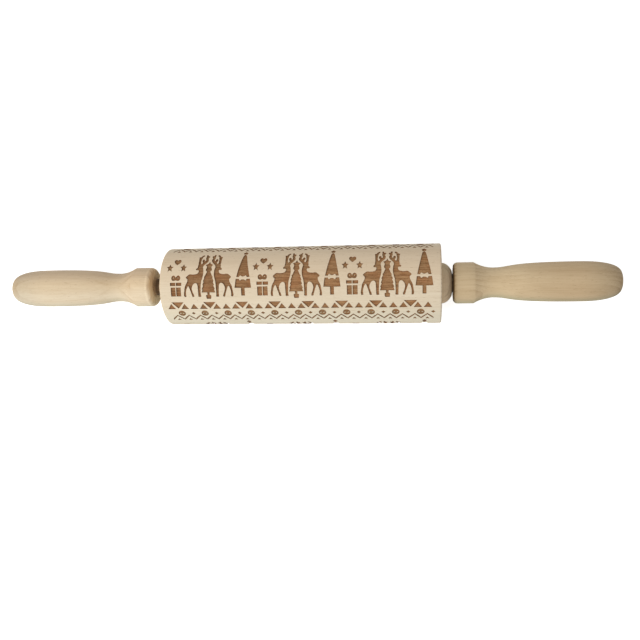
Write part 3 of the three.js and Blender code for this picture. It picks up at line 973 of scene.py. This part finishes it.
# %% [markdown]
# ### Copies along the row
# A roller is engraved by stepping one drawing along it. The tree makes a line of points, one pitch
# apart, and puts the motif on each. Counts and pitches are inputs, so that one tree serves every
# band. An Array modifier could step a motif too, but has no input for the place of the first.


# %% The tree that repeats a motif
def repeat_tree():
    start, given = new_geometry_tree("repeat_along_the_row", {
        "Count": ("Int", 3),
        "Pitch": ("Float", 50.0),
        "First": ("Float", 0.0),
        "Look": ("Material", None),
    })
    first = start.node("ShaderNodeCombineXYZ", {"X": given["First"]})
    stride = start.node("ShaderNodeCombineXYZ", {"X": given["Pitch"]})
    line = {"Count": given["Count"], "Start Location": first, "Offset": stride}
    line = start.node("GeometryNodeMeshLine", line)
    copies = {"Points": line, "Instance": given["Geometry"]}
    return end_tree(start, start.node("GeometryNodeInstanceOnPoints", copies), given["Look"])


repeat_along = repeat_tree()
print("the repeating tree has", len(repeat_along.nodes), "nodes")

# %% [markdown]
# ### One row, laid out
# Now every band is stepped along the row. The figures and triangles are sunk deep, and discs,
# diamonds and zigzag, which the laser only grazes, less. The eyes of the bows and the strokes in the
# discs are wood that stays, so they are kept in a list of their own.

# %% Lay out one row
band_shortening, band_start = 1.1, 0.65
band_length, band_margin = pattern_length - band_shortening, left_margin + band_start
stood_apart = 3.9
triangle_first, disc_first, zigzag_first = 0.34, 0.52, 0.57
triangle_pitch = pattern_length / triangles_along
disc_pitch, chevron_pitch = band_length / discs_along, band_length / chevrons_along


def lay_out(name, outlines, count, first_share, length=pattern_length, margin=left_margin):
    """Outlines repeated along the row, as lists of points measured from the barrel's left end."""
    pitch = length / count
    first = margin + first_share * pitch
    motif = motif_object(name, outlines)
    line = {"count": count, "pitch": pitch, "first": first, "look": floor_scorch}
    laid = run_tree(motif, repeat_along, name, **line)
    places = [v.co.xy.copy() for v in laid.data.vertices]
    found = [[places[i] for i in face.vertices] for face in laid.data.polygons]
    bpy.data.objects.remove(laid)
    return found


stood = [moved(triangle_stood, dx) for dx in (-stood_apart, stood_apart, triangle_pitch / 2)]
discs = [disc, moved(diamond, disc_pitch / 2)]
chevrons = [zigzag(chevron_pitch), small_triangle]
bow_eyes = [moved(eye, gift_place) for eye in (bow_eye, mirrored(bow_eye))]
band = (band_length, band_margin)

deep = lay_out("figures", group_motif(), groups_along, 0.0)
deep += lay_out("triangles", [triangle_hung] + stood, triangles_along, triangle_first)
shallow = lay_out("discs", discs, discs_along, disc_first, *band)
shallow += lay_out("zigzag", chevrons, chevrons_along, zigzag_first, *band)
cut = deep + shallow
kept = lay_out("bow_eyes", bow_eyes, groups_along, 0.0)
kept += lay_out("disc_strokes", disc_strokes, discs_along, disc_first, *band)
print("one row has", len(cut), "shapes cut and", len(kept), "left standing in them")

# %% [markdown]
# ## Sinking the pattern into the barrel
# The row is triangulated flat, with every outline and a ruled line for each narrow side of the barrel
# as fixed edges. Each triangle is then wholly inside or outside the figures and lies on one side. The
# ones inside become floors at the engraving's depth, and a wall joins the two levels wherever they
# meet. A boolean would give the same, but with stray slivers that show on a smooth barrel.

# %% Triangulate one row
sides_in_row = 48
row_low = -17.45
edge_softening = 0.9
deep_cut, shallow_cut = 0.55, 0.3
same_point = 1e-5
land_start, land_end = edge_softening, barrel_length - edge_softening


def flat_row():
    """Points of one row, and its triangles as (corners, how deep they are cut)."""
    points, edges, faces = [], [], []
    for side in range(sides_in_row + 1):
        y = row_low + row_pitch * side / sides_in_row
        edges.append((len(points), len(points) + 1))
        points += [Vector((land_start, y)), Vector((land_end, y))]
    for outline in cut + kept:
        faces.append(list(range(len(points), len(points) + len(outline))))
        points += outline
    made = delaunay_2d_cdt(points, edges, faces, 0, same_point, True)
    triangles = []
    for corners, sources in zip(made[2], made[5]):
        inside = bool(sources) and all(source < len(cut) for source in sources)
        depth = deep_cut if min(sources, default=0) < len(deep) else shallow_cut
        triangles.append((list(corners), depth if inside else 0))
    return made[0], triangles


row_points, row_triangles = flat_row()
print("row:", len(row_points), "points and", len(row_triangles), "triangles")

# %% [markdown]
# ### Rolling the row up
# A laser engraver turns the barrel under its beam, so a height on the drawing becomes an angle on the
# wood. The same is done here point by point. Points that are sunk get a twin at the floor's radius,
# and the walls are the four-sided faces between a rim and its twin. Extruding the figures in edit
# mode would push them straight down instead of towards the axis.

# %% Roll the row up
foot_angle = math.radians(61.4)
land, sunk_floor, sunk_wall = range(3)


def rolled(point, depth):
    """A point of the sheet on the barrel, about the X axis, in metres."""
    angle = foot_angle + point.y / barrel_radius
    radius = barrel_radius - depth
    x = barrel_low.x + point.x
    return (x * MM, -radius * math.cos(angle) * MM, radius * math.sin(angle) * MM)


def row_skin(points, triangles):
    """Faces of a row's land, floors and walls, each with its kind."""
    places = [rolled(p, 0) for p in points]
    faces, kinds, rims, sunk = [], [], {}, {}

    def sink(corner, depth):
        """The point below a corner, made when it is first asked for."""
        if depth and (corner, depth) not in sunk:
            sunk[corner, depth] = len(places)
            places.append(rolled(points[corner], depth))
        return sunk.get((corner, depth), corner)

    for corners, depth in triangles:
        faces.append([sink(c, depth) for c in corners])
        kinds.append(sunk_floor if depth else land)
        for a, b in zip(corners, corners[1:] + corners[:1]):
            rims[a, b] = depth
    for (a, b), depth in rims.items():
        if depth and rims.get((b, a)) == 0:
            faces.append([a, b, sink(b, depth), sink(a, depth)])
            kinds.append(sunk_wall)
    return places, faces, kinds


print("a row covers", round(math.degrees(row_pitch / barrel_radius)), "degrees of the barrel")

# %% [markdown]
# ### Ends and bore
# Each end of the barrel has a softened edge, a flat face, a counterbore for the boss and a narrower
# bore for the rod. A lathe could turn them in one go, but their rim has to meet the engraved row
# point for point. So half a section is swept through one row's own sides and flipped for the far
# end.

# %% Shape the ends and the bore
counterbore_radius, counterbore_depth = 9.3, 14.5
through_radius = 6
edge_steps = 5


def end_profile():
    """Half of the barrel's section, from the middle of the bore out to the land's left edge."""
    profile = [(barrel_length / 2, through_radius), (counterbore_depth, through_radius)]
    profile += [(counterbore_depth, counterbore_radius), (0, counterbore_radius)]
    centre = (edge_softening, barrel_radius - edge_softening)
    return profile + arc(centre, (edge_softening, edge_softening), 180, 90, edge_steps)


def sector(profile, flip):
    """A profile swept through one row's share of a turn, in that row's own sides."""
    places, faces = [], []
    for side in range(sides_in_row + 1):
        y = row_low + row_pitch * side / sides_in_row
        for x, radius in profile:
            along = barrel_length - x if flip else x
            places.append(rolled(Vector((along, y)), barrel_radius - radius))
    width = len(profile)
    for side in range(sides_in_row):
        for k in range(width - 1):
            a = side * width + k
            face = [a, a + 1, a + width + 1, a + width]
            faces.append(face[::-1] if flip else face)
    return places, faces


print("each end adds", len(sector(end_profile(), False)[1]), "faces to a row")

# %% [markdown]
# ### Closing the barrel
# The row is a third of the barrel. A last geometry tree sets three of them round the axis, welds the
# seams and gives each kind of surface its finish, by the number that the faces carry. Dressing the
# faces by material slots would work too, but the tree keeps the three finishes as named inputs.


# %% The tree that closes the barrel
def ring_tree():
    start, given = new_geometry_tree("rows_round_the_barrel", {
        "Rows": ("Int", rows_round),
        "Axis height": ("Float", axis_height * MM),
        "Weld": ("Float", 2e-6),
        "Land": ("Material", None),
        "Floor": ("Material", None),
        "Wall": ("Material", None),
    })
    height = start.node("ShaderNodeCombineXYZ", {"Z": given["Axis height"]})
    line = {"Count": given["Rows"], "Start Location": height, "Offset": (0.0, 0.0, 0.0)}
    line = start.node("GeometryNodeMeshLine", line)
    angle = start.node("GeometryNodeInputIndex") * (2 * math.pi) / given["Rows"]
    angle = start.node("ShaderNodeCombineXYZ", {"X": 0 - angle})
    copies = {"Points": line, "Instance": given["Geometry"], "Rotation": angle}
    ring = start.node("GeometryNodeInstanceOnPoints", copies)
    ring = start.node("GeometryNodeRealizeInstances", {"Geometry": ring})
    ring = start.node("GeometryNodeMergeByDistance", {"Geometry": ring, "Distance": given["Weld"]})
    kind = start.node("GeometryNodeInputNamedAttribute", {"Name": "kind"}, data_type="INT")
    for number, label in ((land, "Land"), (sunk_floor, "Floor"), (sunk_wall, "Wall")):
        same = {"A_INT": kind, "B_INT": number}
        same = start.node("FunctionNodeCompare", same, data_type="INT", operation="EQUAL")
        dressed = {"Geometry": ring, "Selection": same, "Material": given[label]}
        ring = start.node("GeometryNodeSetMaterial", dressed)
    return end_tree(start, ring)


rows_round_barrel = ring_tree()
print("the closing tree has", len(rows_round_barrel.nodes), "nodes")

# %% [markdown]
# ### The barrel itself
# The engraved skin of a row and the sectors of both ends are joined into one mesh, whose faces carry
# their kind as an attribute. The closing tree then makes the whole barrel of it. Working on a third
# keeps the triangulation quick, and all three rows come out exactly alike.


# %% Build the barrel
def engraved_barrel():
    places, faces, kinds = row_skin(row_points, row_triangles)
    for flip in (False, True):
        more_places, more_faces = sector(end_profile(), flip)
        faces += [[c + len(places) for c in face] for face in more_faces]
        places += more_places
    kinds += [land] * (len(faces) - len(kinds))
    mesh = bpy.data.meshes.new("barrel_row")
    mesh.from_pydata(places, [], faces)
    mesh.attributes.new("kind", "INT", "FACE").data.foreach_set("value", kinds)
    looks = {"land": barrel_beech, "floor": floor_scorch, "wall": wall_char_and_shade}
    return run_tree(put_in_scene("barrel_row", mesh), rows_round_barrel, "engraved_barrel", **looks)


barrel = engraved_barrel()
triangle_total = sum(len(face.vertices) - 2 for face in barrel.data.polygons)
print("barrel:", len(barrel.data.vertices), "points and", triangle_total, "triangles")

# %% [markdown]
# ### True normals
# Long thin triangles shade unevenly when their normals are averaged. The barrel is round, so the true
# normal at any point is known: it points straight away from the axis, tilted only as far as the face
# tilts along the pin. Walls keep the normal of their own face, so that their edges stay crisp.


# %% True normals for the barrel
def true_normals(mesh):
    normals = []
    kinds = mesh.attributes["kind"].data
    axis = Vector((0, 0, axis_height * MM))
    for face in mesh.polygons:
        for index in face.vertices:
            spoke = mesh.vertices[index].co - axis
            spoke.x = 0
            spoke.normalize()
            side = math.copysign(1, spoke.dot(face.normal))
            tilt = face.normal.x
            round_normal = spoke * side * math.sqrt(max(0.0, 1 - tilt * tilt)) + Vector((tilt, 0, 0))
            normals.append(face.normal if kinds[face.index].value == sunk_wall else round_normal)
    mesh.shade_smooth()
    mesh.normals_split_custom_set(normals)
    mesh.attributes.remove(mesh.attributes["kind"])
    return len(normals)


print("true normals set at", true_normals(barrel.data), "corners")

# %% [markdown]
# ## End grain
# The wood recipe reads how far the surface faces along the pin from an attribute of the mesh. It is
# stored for each corner of each face, since at a crisp edge the two sides have different values. The
# shader could read the normal itself, but it has that as the world sees it, which goes wrong as soon
# as the pin lies another way.

# %% Store the end grain
turned_pieces = (barrel, boss_left, boss_right, rod, handle_left, handle_right)


def mark_end_grain(mesh):
    """Writes 0 where the surface runs along the fibres and 1 where it cuts across them."""
    normals = [0.0] * (3 * len(mesh.loops))
    mesh.corner_normals.foreach_get("vector", normals)
    end_grain = mesh.attributes.new("end_grain", "FLOAT", "CORNER")
    end_grain.data.foreach_set("value", [abs(along) for along in normals[::3]])


for piece in turned_pieces:
    mark_end_grain(piece.data)
print("end grain marked on", len(turned_pieces), "pieces")

# %% [markdown]
# ## Riding on the frame
# Each piece moves with the body of the node that it stands for: the handles and the rod are one body,
# the bosses drift with the barrel, and the barrel turns. Each piece is parented to an empty for its
# body, and the imported node that it replaces is hidden.

# %% Hang the pieces on the bodies
bodies = ("barrel", "end_bosses", "end_bosses", "handles", "handles", "handles")
nodes = ("barrel", "end_boss_left", "end_boss_right", "axle_rod", "handle_left", "handle_right")
slots = ("barrel_wood", "boss_wood", "boss_wood", "axle_wood", "handle_wood", "handle_wood")
for piece, body, node, slot in zip(turned_pieces, bodies, nodes, slots):
    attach(piece, body)
    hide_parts(node)
    print(piece.name, "rides on", body)

# %% [markdown]
# ## White ground
# The picture has a white ground. What the camera sees of the table is lifted to white by a little
# glow of its own, so that the soft shadow under the pin stays. The glow is only there for rays that
# show the ground as a picture. A brighter lamp would whiten the ground too, but bleach the wood.

# %% Mix the white ground
floor_glow = 0.7
sheet_white = (236, 236, 236)


def shown(start):
    """1 on rays that show the ground as a picture, and 0 on those that carry its light."""
    path = start.node("ShaderNodeLightPath", out="Is Camera Ray")
    seen_in_gloss = start.maths("MAXIMUM", path, path.also("Is Glossy Ray"))
    return start.maths("MAXIMUM", seen_in_gloss, path.also("Is Transmission Ray"))


def floor_material():
    material, shader, start = new_material("white_ground")
    start.tree.nodes.remove(shader)
    sheet = start.node("ShaderNodeBsdfDiffuse", {"Color": tint(*sheet_white)})
    glow = start.node("ShaderNodeEmission", {"Color": (1.0, 1.0, 1.0, 1.0), "Strength": floor_glow})
    lifted = start.node("ShaderNodeAddShader", {0: sheet, 1: glow})
    surface = start.node("ShaderNodeMixShader", {"Fac": shown(start), 1: sheet, 2: lifted})
    leave = next(n for n in start.tree.nodes if n.bl_idname == "ShaderNodeOutputMaterial")
    start.tree.links.new(surface.socket, leave.inputs["Surface"])
    return material


white_ground = floor_material()
print(white_ground.name, "glows with", floor_glow, "of white where it is seen")

# %% [markdown]
# ## Table
# The pin lies on a sheet so large that its edge is never seen from any side. One square face is
# enough, as it is flat. It is staged, which tells the frame that it isn't part of the object.

# %% Lay the sheet
floor_half = 3.0
floor_mesh = bpy.data.meshes.new("ground")
corners = [(x * floor_half, y * floor_half, 0) for x, y in ((-1, -1), (1, -1), (1, 1), (-1, 1))]
floor_mesh.from_pydata(corners, [], [(0, 1, 2, 3)])
floor_mesh.materials.append(white_ground)
ground = put_in_scene("ground", floor_mesh)
print("floor", 2 * floor_half, "m square")

# %% [markdown]
# ## Light
# The light is a broad lamp, half way up at the viewer's near left, like a window, and a pale sky
# that fills the shadows. An area lamp gives the soft shading of the picture, where a sun or a point
# would draw hard edges. The sky lights at half strength, and is full white only where it is seen.

# %% Lamp and sky
sky_light = 0.5
white = (1.0, 1.0, 1.0, 1.0)


def lamp(name, place, size, watts, colour):
    """A square area lamp that looks at the middle of the pin."""
    data = bpy.data.lights.new(name, "AREA")
    data.size = size
    data.energy = watts
    data.color = colour
    light = put_in_scene(name, data)
    light.location = place
    aim = Vector((0, 0, axis_height * MM)) - light.location
    light.rotation_euler = aim.to_track_quat("-Z", "Y").to_euler()
    return light


window_place = (-0.53, -0.33, 0.65)
window = lamp("window", window_place, size=0.75, watts=5.45, colour=(1.0, 0.99, 0.96))

world = bpy.data.worlds.new("studio")
bpy.context.scene.world = world
world.use_nodes = True
sky = world.node_tree.nodes["Background"]
sky.inputs["Color"].default_value = white
sky_start = Wire(world.node_tree)
sky_start.feed(sky.inputs["Strength"], sky_light + shown(sky_start) * (1 - sky_light))
bpy.context.scene.view_settings.view_transform = "Standard"
print("lamp of", round(window.data.energy, 2), "W and a sky that lights at", sky_light)
